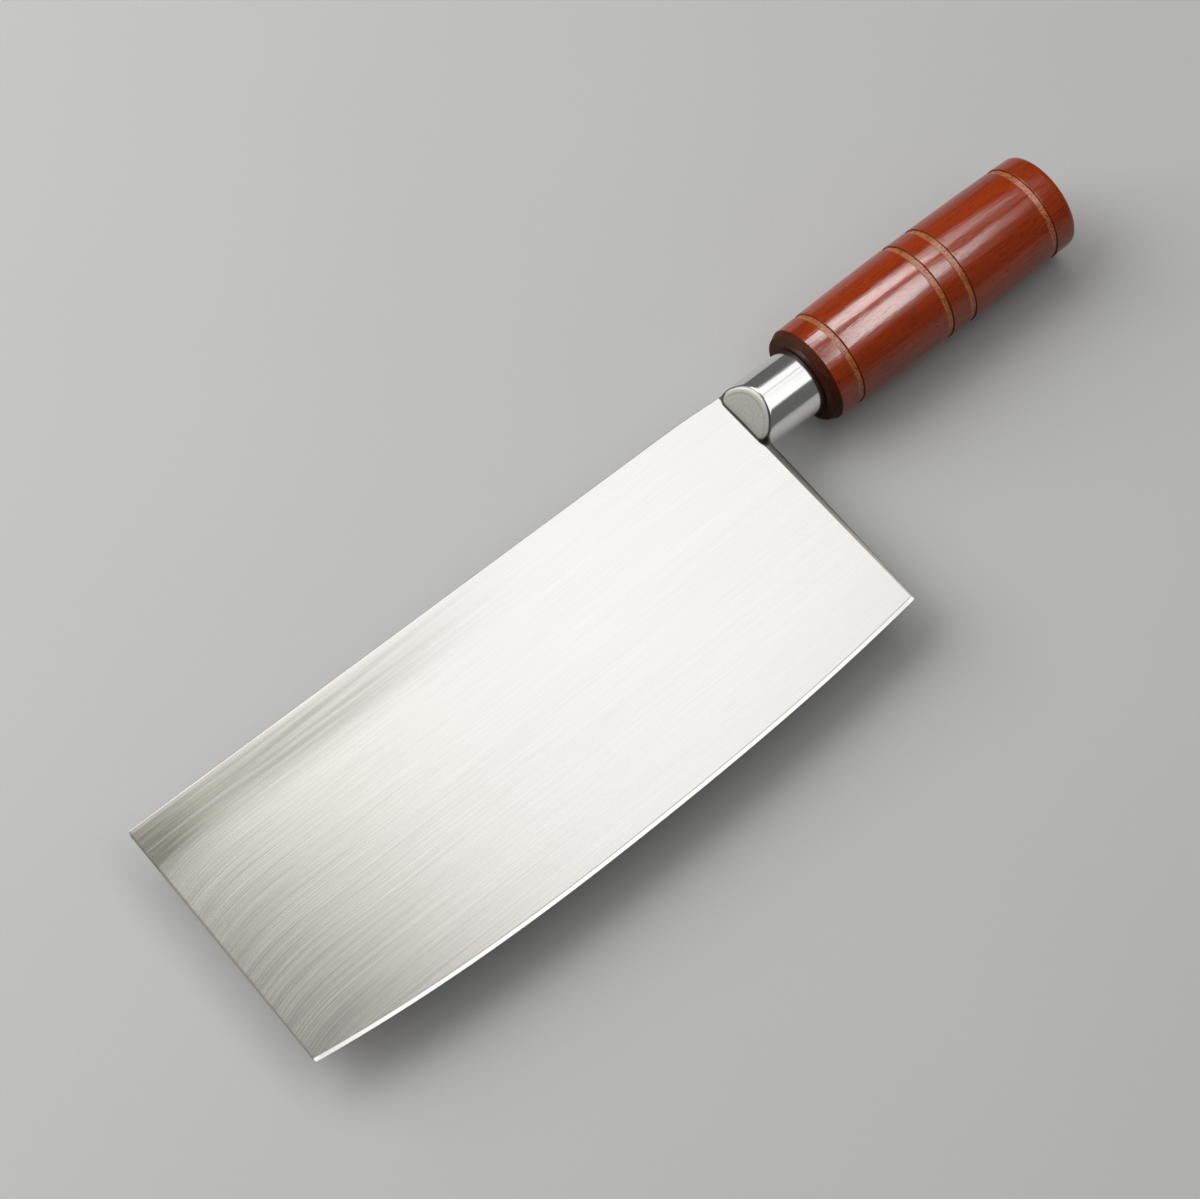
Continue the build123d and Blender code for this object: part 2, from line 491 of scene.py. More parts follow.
@dataclass(frozen=True)
class TurnedSteel(Finish):
    """Plain steel with fine turning lines round the handle's axis and hammer marks on its end."""

    depth: float = 0.002
    line: Grain = Grain((0.12, 0.12, 1.0), 0.2, 2.0)
    dent: Grain = Grain((2.2, 2.2, 2.2), 0.3)
    hammer_depth: float = 0.0

    def surface(self, skin: Skin) -> dict:
        """Fine lines by distance from the axis, and soft dents.

        Args:
            skin: The material's tree.

        Returns:
            Values of the shader's sockets.
        """
        line = skin.noise(self.line, skin.point(skin.radius(), skin.x, 0.0))
        dent = skin.noise(self.dent)
        share = 1.0 + line.swing(self.line.weight) + dent.swing(self.dent.weight)
        return {
            "Base Color": skin.shade(self.colour, share),
            "Metallic": 1.0,
            "Roughness": self.roughness + dent.swing(self.sheen),
            "Normal": skin.bump(line * self.depth + dent * self.hammer_depth, 1.0),
        }


@dataclass(frozen=True)
class Speckled(Finish):
    """A surface whose height swings with a first noise, its gloss with the last and its colour with all."""

    grains: tuple[Grain, ...] = ()
    metallic: float = 0.0

    def surface(self, skin: Skin) -> dict:
        """Marks, soft clouds or specks all over.

        Args:
            skin: The material's tree.

        Returns:
            Values of the shader's sockets.
        """
        noises = [skin.noise(grain) for grain in self.grains]
        swings = [noise.swing(grain.weight) for noise, grain in zip(noises, self.grains)]
        return {
            "Base Color": skin.shade(self.colour, sum(swings, 1.0)),
            "Metallic": self.metallic,
            "Roughness": self.roughness + noises[-1].swing(self.sheen),
            "Normal": skin.bump(noises[0], self.depth),
        }


class Steel(Enum):
    """Finishes of the blade and the collar."""

    FACE = GroundSteel("blade_face", (0.8, 0.79, 0.765), 0.215)
    RIM = GroundSteel("blade_rim", (0.74, 0.73, 0.71), 0.24, contrast=0.12)
    # The front rim's darker colour is painted shade: it stands in for the dark surround that the rounded rim
    # would mirror.
    FRONT_RIM = GroundSteel("front_rim_painted_shade", (0.46, 0.45, 0.43), 0.45, contrast=0.08)
    # A thin dark line painted on the face where it meets the front rim and the cutting bevel: painted shade,
    # standing in for the dark that these edges mirror.
    LINE = GroundSteel("painted_border_shade", (0.5, 0.49, 0.46), 0.3, contrast=0.16)
    HEEL = GroundSteel("eased_heel", (0.47, 0.445, 0.395), 0.32, contrast=0.16)
    BEVEL = Speckled(
        "cutting_bevel", (0.92, 0.915, 0.9), 0.22, 0.12, 0.002, (Grain((0.35, 3.0, 1.0), 0.2, 3.0, 0.6),), 1.0
    )
    COLLAR = PolishedSteel("collar_polish", (0.82, 0.82, 0.815), 0.13)


class Timber(Enum):
    """Finishes of the handle, in the order of its zones."""

    BODY = LacqueredWood("lacquered_wood", (0.23, 0.025, 0.0011), 0.085)
    GROOVE = BareWood(
        "bare_groove",
        (0.44, 0.125, 0.026),
        0.34,
        depth=0.05,
        dark=(0.07, 0.014, 0.002),
        grain=Grain((0.6, 0.3, 0.3), detail=3.0, roughness=0.65),
    )
    # The front face and chamfer are stained end grain, darkened further as painted shade.
    END = BareWood(
        "stained_end_and_shade",
        (0.06, 0.013, 0.003),
        0.55,
        dark=(0.025, 0.005, 0.0015),
        gloss=0.1,
        grain=Grain((0.8, 0.4, 0.4), detail=3.0, roughness=0.65),
    )
    BORE = BareWood("bored_wood", (0.46, 0.24, 0.1), 0.6, dark=(0.3, 0.14, 0.05))
    # Painted shade on the grooves' near walls and on thin strips along both edges of their floors.
    SHADE = BareWood("groove_shade_strip", (0.15, 0.026, 0.003), 0.45, dark=(0.07, 0.011, 0.0015), gloss=0.25)


class Plain(Enum):
    """Finishes of the pieces that the handle hides, and of the table."""

    TANG = TurnedSteel("tang_steel", (0.6, 0.59, 0.57), 0.38, hammer_depth=0.12)
    WASHER = TurnedSteel("washer_steel", (0.66, 0.65, 0.64), 0.3)
    RESIN = Speckled(
        "adhesive", (0.62, 0.5, 0.3), 0.45, depth=0.05, grains=(Grain((3.0, 2.0, 2.0), 0.4, 3.0),)
    )
    TABLE = Speckled(
        "pale_table",
        (0.6, 0.6, 0.592),
        0.6,
        sheen=0.1,
        grains=(Grain((0.8, 0.8, ENDLESS), 0.05, 2.0), Grain((160.0, 160.0, ENDLESS), 0.05, 2.0)),
    )


def link(name: str, data: bpy.types.ID) -> bpy.types.Object:
    """Put a mesh, a lamp or a camera into the scene.

    Args:
        name: The name of the new object.
        data: What it holds.

    Returns:
        The object.
    """
    made = bpy.data.objects.new(name, data)
    bpy.context.scene.collection.objects.link(made)
    return made


def make_object(
    name: str, points: np.ndarray, faces: list, slots: np.ndarray, finishes: tuple[Enum, ...], axes: Axes
) -> bpy.types.Object:
    """Make a smooth-shaded mesh object from points about the knife's axes.

    Args:
        name: The object's name.
        points: Points in millimetres.
        faces: Corners of each face, which points outwards.
        slots: Which finish each face has.
        finishes: The finishes, in the order of their slots.
        axes: The knife's own axes.

    Returns:
        The object, linked to the scene.
    """
    mesh = bpy.data.meshes.new(name)
    mesh.from_pydata(axes.place(points).tolist(), [], faces)
    for finish in finishes:
        mesh.materials.append(finish.value.material(axes))
    mesh.polygons.foreach_set("material_index", slots)
    mesh.polygons.foreach_set("use_smooth", [True] * len(faces))
    mesh.update()
    return link(name, mesh)


def store(
    piece: bpy.types.Object, name: str, values: np.ndarray, kind: str = "FLOAT", domain: str = "POINT"
) -> None:
    """Keep a value of each point or edge of a piece under a name."""
    piece.data.attributes.new(name, kind, domain).data.foreach_set("value", values)


def crease(piece: bpy.types.Object, edges: np.ndarray) -> None:
    """Mark some edges as crisp.

    Args:
        piece: The piece.
        edges: The numbers of the two ends of each edge.
    """
    crisp = {frozenset(edge) for edge in edges.tolist()}
    flags = [frozenset(edge.vertices) in crisp for edge in piece.data.edges]
    store(piece, "sharp_edge", flags, "BOOLEAN", "EDGE")


def closed(rows: np.ndarray) -> np.ndarray:
    """Close rows of point numbers: each ends with the point that it starts with."""
    return np.column_stack([rows, rows[:, 0]])


def quads(grid: np.ndarray) -> np.ndarray:
    """Corners of the quads between the rows and columns of a grid of point numbers."""
    corners = (grid[:-1, :-1], grid[:-1, 1:], grid[1:, 1:], grid[1:, :-1])
    return np.stack(corners, 2).reshape(-1, 4)


def bezier(*controls: np.ndarray, count: int) -> np.ndarray:
    """Take points along a Bezier curve.

    Args:
        controls: Its control points, of which the first and last are its ends.
        count: How many points to take.

    Returns:
        The points.
    """
    t = np.linspace(0, 1, count)[:, None]
    while len(controls) > 1:
        controls = [first + (second - first) * t for first, second in zip(controls, controls[1:])]
    return controls[0]


def meet(start: np.ndarray, along: np.ndarray, other: np.ndarray, other_along: np.ndarray) -> np.ndarray:
    """Where the line through one point meets the line through another."""
    share, _ = np.linalg.solve(np.column_stack([along, -other_along]), other - start)
    return start + along * share


class Side(IntEnum):
    """Sides of the blade's outline, anticlockwise from the corner of spine and front."""

    FRONT = 0
    BELLY = 1
    HEEL = 2
    SPINE = 3


@dataclass(frozen=True)
class EdgeForm:
    """How one side of the outline is worked: its width on the face, how round it is and its finishes."""

    start_width: float
    end_width: float
    bulge: float
    finish: Steel
    border: Steel = Steel.FACE


@dataclass
class Blade:
    """The tapered plate with its rounded rims, cutting bevel and eased heel."""

    axes: Axes
    length: float = 220.0
    heel_gap: float = 21.1
    front_height: float = 12.6
    rear_height: float = 11.7
    dip_length: float = 25.0
    spine_end_height: float = 10.6
    belly_depth: float = 81.3
    front_rise: float = 7.1
    heel_rise: float = 5.5
    front_lean: float = 1.2
    heel_lean: float = 2.0
    front_slope: float = 9.1
    heel_slope: float = 6.5
    belly_share: float = 0.535
    arm_share: float = 1 / 3
    spine_thickness: float = 2.2
    edge_thickness: float = 0.5
    edge_flat: float = 0.1
    heel_flat: float = 0.6
    heel_drop: float = 0.02
    heel_fade: float = 65.0
    rim_radius: float = 0.25
    corner_radii: tuple[float, ...] = (1.5, 0.5, 0.9, 0.3)
    corner_shrink: float = 0.8
    least_radius: float = 0.12
    ring_steps: int = 5
    arc_steps: int = 5
    across: int = 46
    along: int = 110
    fine: int = 160
    guard: float = 0.3
    forms: tuple[EdgeForm, ...] = (
        # The front and the belly border the face with the line of painted shade.
        EdgeForm(0.25, 0.25, 1.0, Steel.FRONT_RIM, Steel.LINE),
        EdgeForm(1.1, 1.1, 0.0, Steel.BEVEL, Steel.LINE),
        EdgeForm(0.6, 2.9, 0.3, Steel.HEEL),
        EdgeForm(0.25, 0.25, 1.0, Steel.RIM),
    )
    finishes: tuple[Steel, ...] = (
        Steel.FACE, Steel.RIM, Steel.BEVEL, Steel.HEEL, Steel.LINE, Steel.FRONT_RIM
    )

    def heel_x(self, height: float) -> float:
        """X of the heel line at a height above or below the axis."""
        return -self.heel_gap + height * math.tan(math.radians(self.heel_lean))

    def face_height(self, height: np.ndarray) -> np.ndarray:
        """Height of the ground face above the middle plane, which tapers towards the edge."""
        taper = (self.spine_thickness - self.edge_thickness) / (self.front_height + self.belly_depth)
        return (self.spine_thickness - taper * (self.front_height - height)) / 2

    def corners(self) -> list[np.ndarray]:
        """Work out the sharp corners of the outline.

        Returns:
            The corners of spine and front, front and edge, edge and heel, heel and spine.
        """
        front_depth = self.belly_depth - self.front_rise
        heel_depth = self.belly_depth - self.heel_rise
        front_x = -self.heel_gap - self.length
        reach = (self.front_height + front_depth) * math.tan(math.radians(self.front_lean))
        places = (
            (front_x, self.front_height),
            (front_x - reach, -front_depth),
            (self.heel_x(-heel_depth), -heel_depth),
            (self.heel_x(self.spine_end_height), self.spine_end_height),
        )
        return [np.array(place) for place in places]

    def belly_half(self, corner: np.ndarray, slope: float) -> np.ndarray:
        """Half of the cutting edge, from a corner to the deepest point.

        Args:
            corner: The corner that it starts from.
            slope: How steeply it leaves the corner, in degrees.

        Returns:
            The points.
        """
        _, front, heel, _ = self.corners()
        bottom = np.array((heel[0] + (front[0] - heel[0]) * self.belly_share, -self.belly_depth))
        arm = (bottom[0] - corner[0]) * self.arm_share
        first = corner + (arm, -abs(arm) * math.tan(math.radians(slope)))
        return bezier(corner, first, bottom - (arm, 0.0), bottom, count=self.fine)

    def side_lines(self) -> list[np.ndarray]:
        """Draw the outline before its corners are rounded.

        Returns:
            Close points of each side.
        """
        top, front, heel, end = self.corners()
        front_half = self.belly_half(front, self.front_slope)
        heel_half = self.belly_half(heel, self.heel_slope)
        dip = np.array((end[0] - self.dip_length, self.rear_height))
        slope = (dip[1] - top[1]) / (dip[0] - top[0])
        sag = (end[1] - dip[1] - slope * self.dip_length) / self.dip_length**2
        run = np.linspace(self.dip_length, 0, self.fine)
        dipped = np.stack([dip[0] + run, dip[1] + slope * run + sag * run**2], 1)
        straight = bezier(dip, top, count=self.fine)
        return [
            bezier(top, front, count=self.fine),
            np.vstack([front_half, heel_half[-2::-1]]),
            bezier(heel, end, count=self.fine),
            np.vstack([dipped, straight[1:]]),
        ]

    def ring(self, step: float, extra: float = 0.0) -> np.ndarray:
        """Draw one closed line round the blade's face.

        Args:
            step: 0 at the outline, 1 where the worked edge meets the flat face.
            extra: How much further in it lies.

        Returns:
            Its points, the same number for every step.
        """
        lines = []
        for form, line in zip(self.forms, self.side_lines()):
            tangent = np.gradient(line, axis=0)
            tangent /= np.linalg.norm(tangent, axis=1)[:, None]
            inward = np.stack([-tangent[:, 1], tangent[:, 0]], 1)
            share = form.bulge * (1 - math.cos(step * math.pi / 2)) + (1 - form.bulge) * step
            width = np.linspace(form.start_width, form.end_width, len(line))[:, None]
            lines.append(line + inward * (width * share + extra))
        ends = [meet(a[-1], a[-1] - a[-2], b[0], b[1] - b[0]) for a, b in zip(lines[-1:] + lines, lines)]
        shrunk = step * self.corner_shrink + extra
        radii = [max(radius - shrunk, self.least_radius) for radius in self.corner_radii]
        cut = [self._trim(i, lines[i], ends, radii) for i in range(len(lines))]
        points = []
        for i, line in enumerate(cut):
            after = (i + 1) % len(cut)
            opening = bezier(cut[i - 1][-1], ends[i], line[0], count=2 * self.arc_steps + 1)
            closing = bezier(line[-1], ends[after], cut[after][0], count=2 * self.arc_steps + 1)
            points += [opening[self.arc_steps : -1], line, closing[1 : self.arc_steps]]
        return np.vstack(points)

    def _trim(self, i: int, line: np.ndarray, ends: list[np.ndarray], radii: list[float]) -> np.ndarray:
        """Cut a side back from its two corners and space its points evenly.

        Args:
            i: The side's number.
            line: Its points.
            ends: The corner before each side.
            radii: How far the sides are cut back from each corner.

        Returns:
            The new points.
        """
        after = (i + 1) % len(ends)
        ahead = (line - ends[i]) @ (line[1] - line[0]) > 0
        behind = (line - ends[after]) @ (line[-1] - line[-2]) < 0
        whole = np.vstack([ends[i], line[ahead & behind], ends[after]])
        steps = np.append(0, np.cumsum(np.linalg.norm(np.diff(whole, axis=0), axis=1)))
        count = self.along if i in (Side.BELLY, Side.SPINE) else self.across
        places = np.linspace(radii[i], steps[-1] - radii[after], count)
        return np.stack([np.interp(places, steps, whole[:, k]) for k in (0, 1)], 1)

    def point_sides(self) -> np.ndarray:
        """The side that each point of a ring belongs to."""
        extra = 2 * self.arc_steps - 1
        return np.repeat(list(Side), [self.across + extra, self.along + extra] * 2)

    def rim_values(self, outline: np.ndarray, sides: np.ndarray) -> tuple[np.ndarray, np.ndarray]:
        """Work out how high the outer rim stands and how round the worked edge is.

        Args:
            outline: The outermost ring.
            sides: The side of each of its points.

        Returns:
            Heights and bulges, which pass gently from side to side.
        """
        face = self.face_height(outline[:, 1])
        eased = face - self.heel_drop
        fade = np.clip((outline[:, 1] + self.belly_depth - self.heel_rise) / self.heel_fade, 0, 1)
        heel = eased + (self.heel_flat / 2 - eased) * fade
        edge = np.full_like(face, self.edge_flat / 2)
        rim = np.choose(sides, [face - self.rim_radius, edge, heel, face - self.rim_radius])
        bulge = np.array([form.bulge for form in self.forms])[sides]
        window = 2 * self.arc_steps + 1
        for values in (rim, bulge):
            padded = np.concatenate([values[-self.arc_steps :], values, values[: self.arc_steps]])
            values[:] = np.convolve(padded, np.ones(window) / window, "valid")
        return rim, bulge

    def build(self) -> bpy.types.Object:
        """Build the blade.

        Returns:
            The finished piece.
        """
        outline = self.ring(0.0)
        sides = self.point_sides()
        rim, bulge = self.rim_values(outline, sides)
        size = len(outline)
        rings = []
        for step in np.linspace(0, 1, self.ring_steps + 1):
            flat = self.ring(step)
            fall = bulge * (1 - math.sin(step * math.pi / 2)) + (1 - bulge) * (1 - step)
            height = self.face_height(flat[:, 1]) * (1 - fall) + rim * fall
            rings.append(np.column_stack([flat, height]))
        inner = self.ring(1.0, self.guard)
        grid, middle = self._inside(inner, len(rings) * size)
        flat = np.vstack([inner, middle])
        top = np.vstack([*rings, np.column_stack([flat, self.face_height(flat[:, 1])])])
        under = len(top)
        rows = np.arange((self.ring_steps + 2) * size).reshape(-1, size)
        upper = np.vstack([quads(closed(rows)), quads(grid)])
        wall = quads(closed(np.stack([rows[0] + under, rows[0]])))
        faces = np.vstack([upper, upper[:, ::-1] + under, wall])
        worked = self._slots([form.finish for form in self.forms])[sides]
        border = self._slots([form.border for form in self.forms])[sides]
        half = np.concatenate([np.tile(worked, self.ring_steps), border])
        half = np.append(half, np.zeros(len(upper) - len(half), int))
        slots = np.concatenate([half, half, worked])
        points = np.vstack([top, top * (1, 1, -1)])
        piece = make_object("blade_visual", points, faces.tolist(), slots, self.finishes, self.axes)
        self._crease(piece, sides, under)
        return piece

    def _slots(self, finishes: list[Steel]) -> np.ndarray:
        """Material slots of some finishes."""
        return np.array([self.finishes.index(finish) for finish in finishes])

    def _inside(self, loop: np.ndarray, first: int) -> tuple[np.ndarray, np.ndarray]:
        """Fill the flat face with a grid that runs from side to side.

        Args:
            loop: The innermost ring.
            first: Number of its first point, which the new points' numbers follow.

        Returns:
            The grid's point numbers and the new points.
        """
        extra = 2 * self.arc_steps - 1
        short, long = self.across + extra, self.along + extra
        size = len(loop)
        belly = np.arange(short, short + long + 1)
        spine = np.arange(size, size - long - 1, -1) % size
        front = np.arange(short, -1, -1)
        heel = np.arange(short + long, short + long + short + 1)
        u = self._shares(loop[belly], loop[spine])[None, :, None]
        v = self._shares(loop[front], loop[heel])[:, None, None]
        ruled = (1 - v) * loop[belly][None] + v * loop[spine][None]
        cross = (1 - u) * loop[front][:, None] + u * loop[heel][:, None]
        flat = (1 - v) * ((1 - u) * loop[belly[0]] + u * loop[belly[-1]])
        flat = flat + v * ((1 - u) * loop[spine[0]] + u * loop[spine[-1]])
        patch = ruled + cross - flat
        grid = np.zeros(patch.shape[:2], int)
        grid[0], grid[-1], grid[:, 0], grid[:, -1] = (first + line for line in (belly, spine, front, heel))
        inside = patch[1:-1, 1:-1].reshape(-1, 2)
        grid[1:-1, 1:-1] = first + size + np.arange(len(inside)).reshape(grid.shape[0] - 2, -1)
        return grid, inside

    @staticmethod
    def _shares(one: np.ndarray, other: np.ndarray) -> np.ndarray:
        """Share of the length at each point, averaged over two opposite sides."""
        lengths = [np.cumsum(np.linalg.norm(np.diff(line, axis=0), axis=1)) for line in (one, other)]
        return np.append(0, sum(line / line[-1] for line in lengths) / 2)

    def _crease(self, piece: bpy.types.Object, sides: np.ndarray, under: int) -> None:
        """Mark the crisp lines: both sides of the cutting bevel and the inner line of the eased heel.

        Args:
            piece: The blade.
            sides: The side of each point of a ring.
            under: Number of the lower half's first point.
        """
        size = len(sides)
        inner = self.ring_steps * size
        edges = np.column_stack([np.arange(size), (np.arange(size) + 1) % size])
        belly, heel = (edges[sides == side] for side in (Side.BELLY, Side.HEEL))
        upper = np.vstack([belly, belly + inner, heel + inner])
        crease(piece, np.vstack([upper, upper + under]))


@dataclass
class Collar:
    """The round bar behind the blade, ground to a slanted cheek on each side."""

    axes: Axes
    length: float = 24.2
    radius: float = 10.8
    rim_radius: float = 3.0
    cheek_run: float = 6.6
    lip: float = 1.7
    rear_break: float = 0.3
    tang_radius: float = 4.0
    seat_depth: float = 8.0
    eye_depth: float = 6.0
    crispness: float = 24.0
    cheek_border: float = 0.12
    # Where the painted shadow on the lip lies and how it fades out.
    lip_fade: float = 0.05
    lip_width: float = 0.3
    lip_start: float = 1.7
    lip_rim: float = 0.75
    # Width and strength of the painted dark reflection just outside the cheek's arc.
    outline_width: float = 0.6
    outline_shade: float = 0.92
    outline_fade: float = 1.6
    segments: int = 288
    row_counts: tuple[int, ...] = (6, 9, 16, 14, 12)
    edge_half: float = 0.11
    edge_room: float = 1.2
    edge_rim: float = 0.3
    least: float = 0.02

    def slope(self) -> float:
        """How far the cheek falls towards the axis for each millimetre along it."""
        return (self.radius - self.lip) / self.cheek_run

    def reach(self, lean: np.ndarray, turn: np.ndarray) -> tuple[np.ndarray, np.ndarray]:
        """Work out how far the surface lies from a point on the axis, in some directions.

        Args:
            lean: Angle from the axis, 0 towards the blade.
            turn: Angle round the axis.

        Returns:
            The distance, and how much nearer the cheek is than the turned bar.
        """
        bar = self._bar_reach(lean)
        divisor = np.sin(lean) * np.abs(np.sin(turn)) + self.slope() * np.cos(lean)
        cheek = (self.lip + self.slope() * self.eye_depth) / np.maximum(divisor, self.least)
        cheek = np.where(divisor > self.least, cheek, 10 * self.length)
        base = np.minimum(bar, cheek)
        soft = (base / bar) ** self.crispness + (base / cheek) ** self.crispness
        return base * soft ** (-1 / self.crispness), bar - cheek

    def _bar_reach(self, lean: np.ndarray) -> np.ndarray:
        """Work out the distance to the turned bar: its front face, rounded rim or side.

        Args:
            lean: Angle from the axis, 0 towards the blade.

        Returns:
            The distance.
        """
        cosine, sine = np.cos(lean), np.maximum(np.sin(lean), TINY)
        rim = np.array((self.eye_depth - self.rim_radius, self.radius - self.rim_radius))
        face = np.where(cosine > TINY, self.eye_depth / np.maximum(cosine, TINY), ENDLESS)
        side = self.radius / sine
        towards = rim[0] * cosine + rim[1] * sine
        root = towards**2 - (rim @ rim - self.rim_radius**2)
        rounded = towards + np.sqrt(np.maximum(root, 0))
        return np.where(face * sine <= rim[1], face, np.where(side * cosine <= rim[0], side, rounded))

    def _rim_lean(self, share: float) -> float:
        """Angle from the axis of a place a share of the rim's radius in from the rim's sharp corner."""
        return math.atan2(self.radius - share * self.rim_radius, self.eye_depth - share * self.rim_radius)

    def leans(self, turn: np.ndarray) -> np.ndarray:
        """Work out the angles of the rows of points, which lie closer at the cheek's two edges.

        Args:
            turn: Angle round the axis of each column.

        Returns:
            Angles from the axis, as rows by columns.
        """
        steep = np.abs(np.sin(turn))
        rim, half = self._rim_lean(self.edge_rim), self.edge_half
        lip_edge = np.arctan2(self.lip, steep * self.eye_depth)
        lip_edge = np.minimum(lip_edge, rim - self.edge_room * half)
        full = (self.lip + self.slope() * self.eye_depth) / self.radius
        arc_edge = np.arctan2(1.0, (full - steep) / self.slope())
        arc_edge = np.maximum(arc_edge, rim + self.edge_room * half)
        last = math.atan2(self.radius, self.eye_depth - self.length + self.rear_break)
        stops = [lip_edge - half, lip_edge + half, arc_edge - half, arc_edge + half]
        stops = [np.zeros_like(turn), *stops, np.full_like(turn, last)]
        spans = zip(stops, stops[1:], self.row_counts)
        rows = [np.linspace(start, end, count, endpoint=False) for start, end, count in spans]
        return np.vstack([*rows, stops[-1]])

    def build(self) -> bpy.types.Object:
        """Build the collar.

        Returns:
            The finished piece.
        """
        turn = np.linspace(0, 2 * math.pi, self.segments, endpoint=False)
        lean = self.leans(turn)
        reach, cheek = self.reach(lean, turn)
        seat = (-self.seat_depth, self.tang_radius)
        tail = np.array([(0.0, self.radius - self.rear_break), (0.0, self.tang_radius), seat])[:, :, None]
        tail = tail * np.ones_like(turn)
        along = np.vstack([(self.eye_depth - self.length - reach * np.cos(lean))[1:], tail[:, 0]])
        out = np.vstack([(reach * np.sin(lean))[1:], tail[:, 1]])
        points = np.stack([along, out * np.cos(turn), out * np.sin(turn)], 2).reshape(-1, 3)
        poles = [(-self.length, 0, 0), (-self.seat_depth, 0, 0)]
        rows = closed(np.arange(len(points)).reshape(along.shape))
        fans = [(len(points), after, here) for here, after in zip(rows[0], rows[0, 1:])]
        fans += [(len(points) + 1, here, after) for here, after in zip(rows[-1], rows[-1, 1:])]
        faces = fans + quads(rows).tolist()
        slots = np.zeros(len(faces), int)
        points = np.vstack([points, poles])
        piece = make_object("collar_visual", points, faces, slots, (Steel.COLLAR,), self.axes)
        rest = np.zeros(len(points) - cheek[1:].size)
        store(piece, "cheek", np.append(np.clip(cheek[1:] / self.cheek_border + 0.5, 0, 1), rest))
        # Painted shadow on the lip and painted dark reflection round the cheek's arc.
        store(piece, "lip", np.append(self._lip_shade(lean, cheek)[1:], rest))
        crease(piece, np.stack([rows[-4:, :-1], rows[-4:, 1:]], 2).reshape(-1, 2))
        return piece

    def _lip_shade(self, lean: np.ndarray, gap: np.ndarray) -> np.ndarray:
        """Paint shade: a painted shadow on the lip between cheek and blade, and a painted dark reflection on
        the line just outside the cheek's arc.

        Args:
            lean: Angle from the axis of each point.
            gap: How much nearer the cheek is than the bar.

        Returns:
            How dark each point is.
        """
        rim = math.atan2(self.radius, self.eye_depth - self.lip_rim * self.rim_radius)
        ahead = np.clip((rim - lean) / self.lip_fade, 0, 1)
        lip = ahead * np.clip(self.lip_start - gap / self.lip_width, 0, 1)
        near = 1 - np.abs(gap + self.outline_width / 2) / self.outline_width
        return np.maximum(lip, self.outline_shade * np.clip(self.outline_fade * near, 0, 1))


class Zone(IntEnum):
    """Zones of the handle's profile, in the order of its finishes."""

    BODY = 0
    GROOVE = 1
    END = 2
    BORE = 3
    SHADE = 4


@dataclass(frozen=True)
class Turn:
    """One corner of a turned profile: its place, its rounding and the zone that follows it."""

    x: float
    r: float
    rounding: float = 0.0
    zone: Zone = Zone.BODY

    def towards(self, other: "Turn") -> np.ndarray:
        """Unit vector from this corner to another."""
        way = np.array((other.x - self.x, other.r - self.r))
        return way / np.linalg.norm(way)


